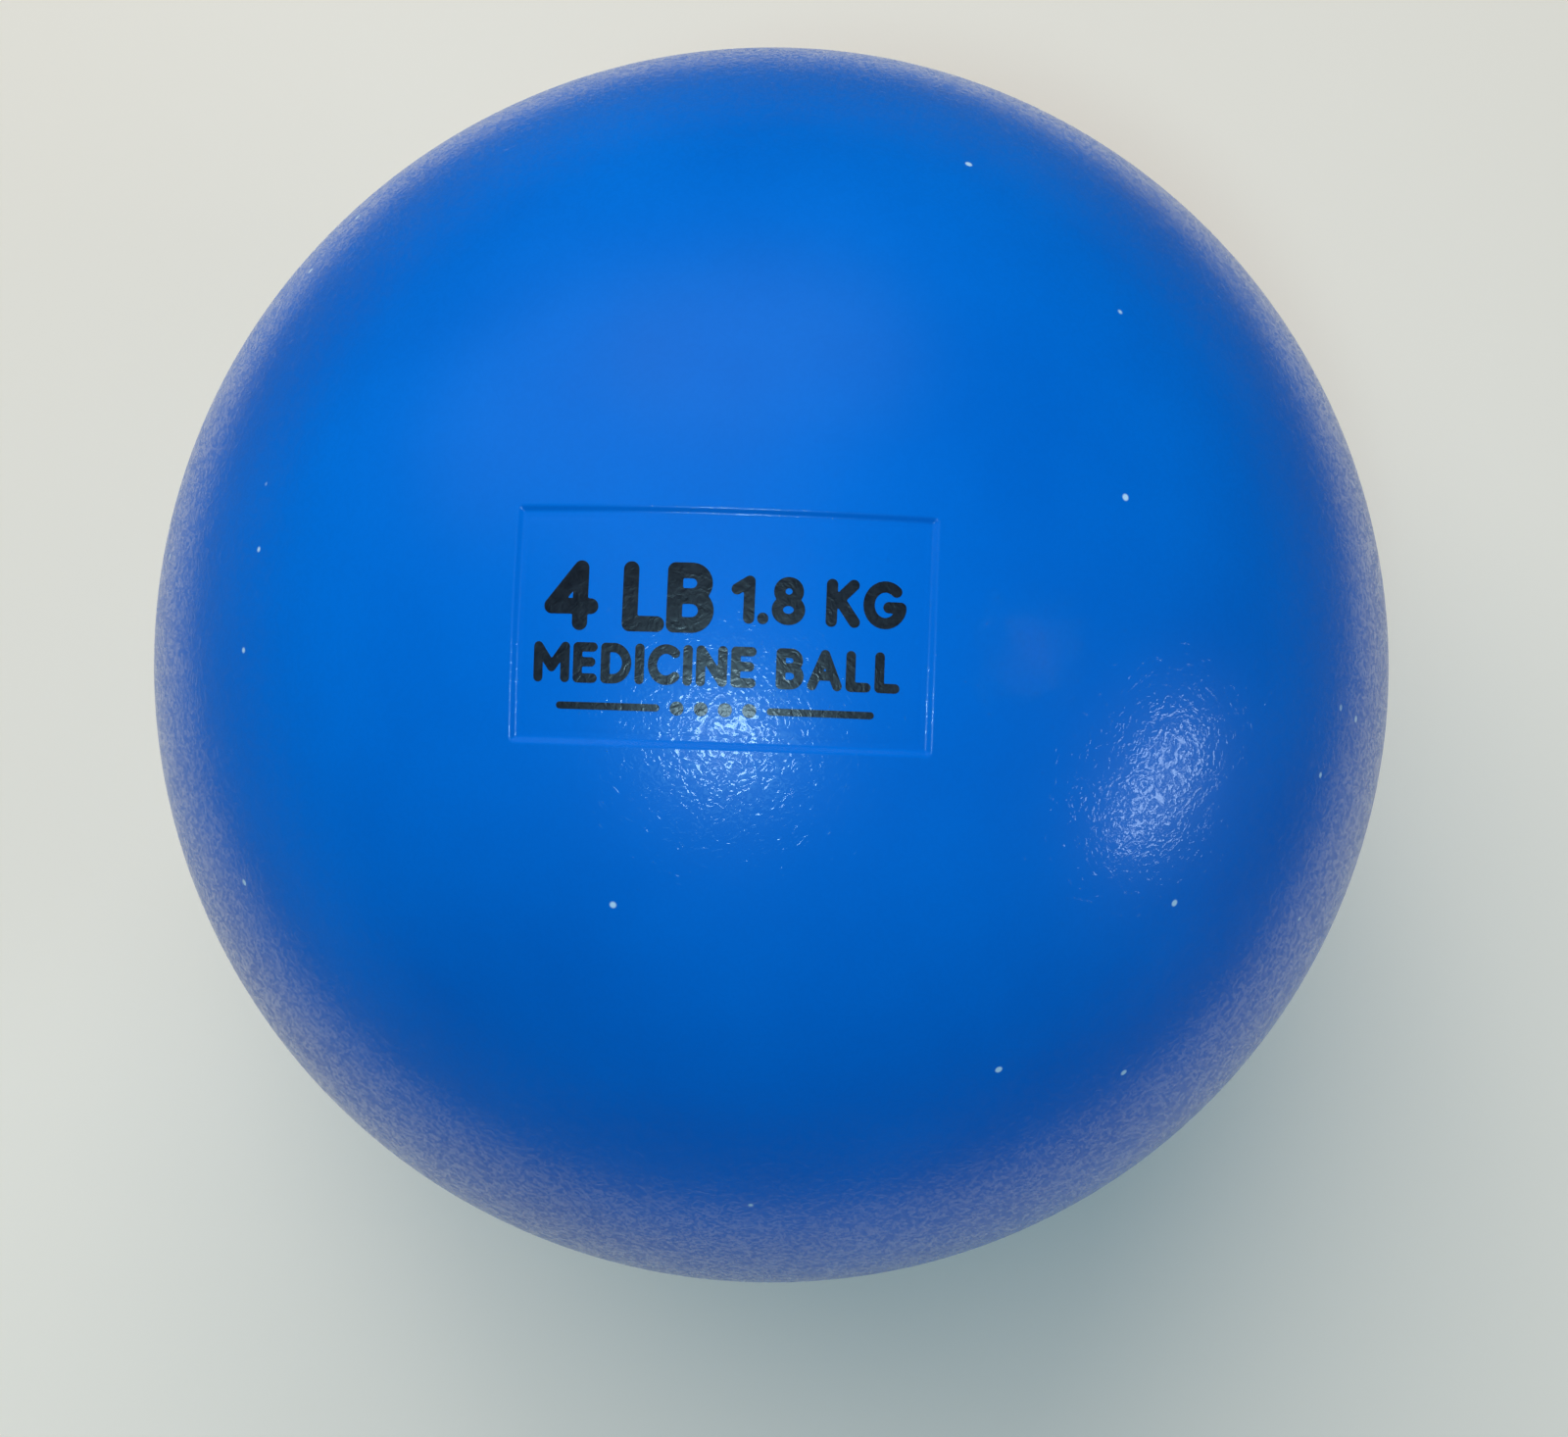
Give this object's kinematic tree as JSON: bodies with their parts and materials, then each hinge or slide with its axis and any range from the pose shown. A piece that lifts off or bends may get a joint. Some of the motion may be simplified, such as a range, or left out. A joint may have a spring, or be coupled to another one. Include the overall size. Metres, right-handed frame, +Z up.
{
  "type": "medicine ball",
  "caption": "Soft-shell weighted exercise ball with a sunk rectangular print panel, a small resting flat, a grit filling and a needle-valve plug at the back.",
  "frame": {"origin": "centre of the flat that the ball rests on, on the supporting surface", "axes": "+Z up through the ball's centre; -Y is the front, towards which the upward-facing print panel leans; +X is to the right of the print as read from the front"},
  "size_m": [0.127, 0.127, 0.125],
  "materials": {
    "shell_vinyl": "satin",
    "plug_vinyl": "satin",
    "vinyl_cement": "gloss",
    "valve_rubber": "matte",
    "grit": "matte",
    "print_ink": "satin"
  },
  "bodies": {
    "root": {"shell": "shell_vinyl", "plug": "plug_vinyl", "cement_ring": "vinyl_cement", "valve_core": "valve_rubber", "filling": "grit"}
  },
  "joints": []
}
